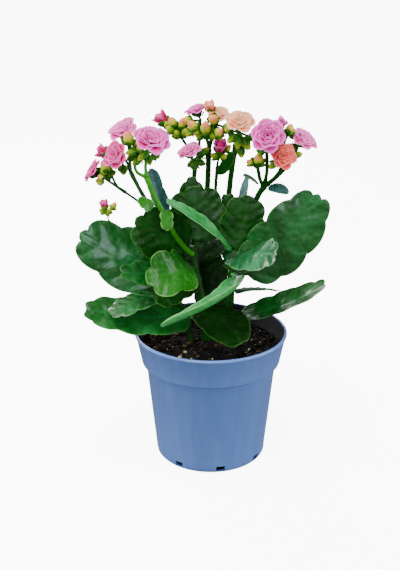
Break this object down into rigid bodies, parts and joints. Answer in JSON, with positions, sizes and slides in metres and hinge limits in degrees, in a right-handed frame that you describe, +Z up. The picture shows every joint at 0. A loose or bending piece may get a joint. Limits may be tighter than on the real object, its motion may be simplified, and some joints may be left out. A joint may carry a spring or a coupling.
{
  "type": "potted kalanchoe",
  "caption": "Flowering potted succulent plant: scalloped fleshy leaves and clusters of small double pink flowers on branching stalks, in a round tapered nursery pot; decorates a sill or table.",
  "frame": {"origin": "on the pot's axis, at the flat underside that the pot stands on", "axes": "+Z up along the pot's axis; -Y the plant's front, the side that its main leaves and flowers face; +X to the front view's right"},
  "size_m": [0.1692, 0.1237, 0.2455],
  "materials": {
    "pot": "satin",
    "soil": "matte",
    "leaf": "satin",
    "lime_leaf": "satin",
    "stem": "satin",
    "petal": "matte",
    "bud": "matte"
  },
  "bodies": {
    "root": {"bract_center": "leaf", "bract_left_back": "leaf", "bract_left_front": "lime_leaf", "bract_right_back": "leaf", "bract_right_front": "lime_leaf", "bract_right_left": "leaf", "bract_right_right": "leaf", "buds_back_left": "bud", "buds_center": "bud", "buds_center_low": "bud", "buds_far_left": "bud", "buds_left": "bud", "buds_right": "bud", "buds_shoot": "bud", "flower_center_back": "petal", "flower_center_low": "petal", "flower_center_top": "petal", "flower_far_left": "petal", "flower_far_right": "petal", "flower_left_back": "petal", "flower_left_large": "petal", "flower_left_low": "petal", "flower_right_center": "petal", "flower_right_large": "petal", "flower_right_low": "petal", "leaf_back_center": "leaf", "leaf_back_left": "leaf", "leaf_back_low": "leaf", "leaf_back_right": "leaf", "leaf_center_back_left": "leaf", "leaf_center_back_right": "leaf", "leaf_center_large": "leaf", "leaf_center_right": "leaf", "leaf_front_bright": "lime_leaf", "leaf_front_dark": "leaf", "leaf_front_fold": "leaf", "leaf_front_low": "leaf", "leaf_left_dark": "leaf", "leaf_left_large": "leaf", "leaf_left_lower": "leaf", "leaf_left_mid": "leaf", "leaf_left_small": "leaf", "leaf_right_edge": "leaf", "leaf_right_glossy": "leaf", "leaf_right_large": "leaf", "leaf_right_lower": "leaf", "leaf_top_fold": "leaf", "main_stem": "stem", "pot": "pot", "potting_soil": "soil", "side_shoot_left": "stem", "side_stem_right": "stem", "stalk_center": "stem", "stalk_center_left": "stem", "stalk_center_right": "stem", "stalk_left_front": "stem", "stalk_left_middle": "stem", "stalk_right": "stem", "stalk_right_center": "stem", "stalk_shoot": "stem"}
  },
  "joints": []
}
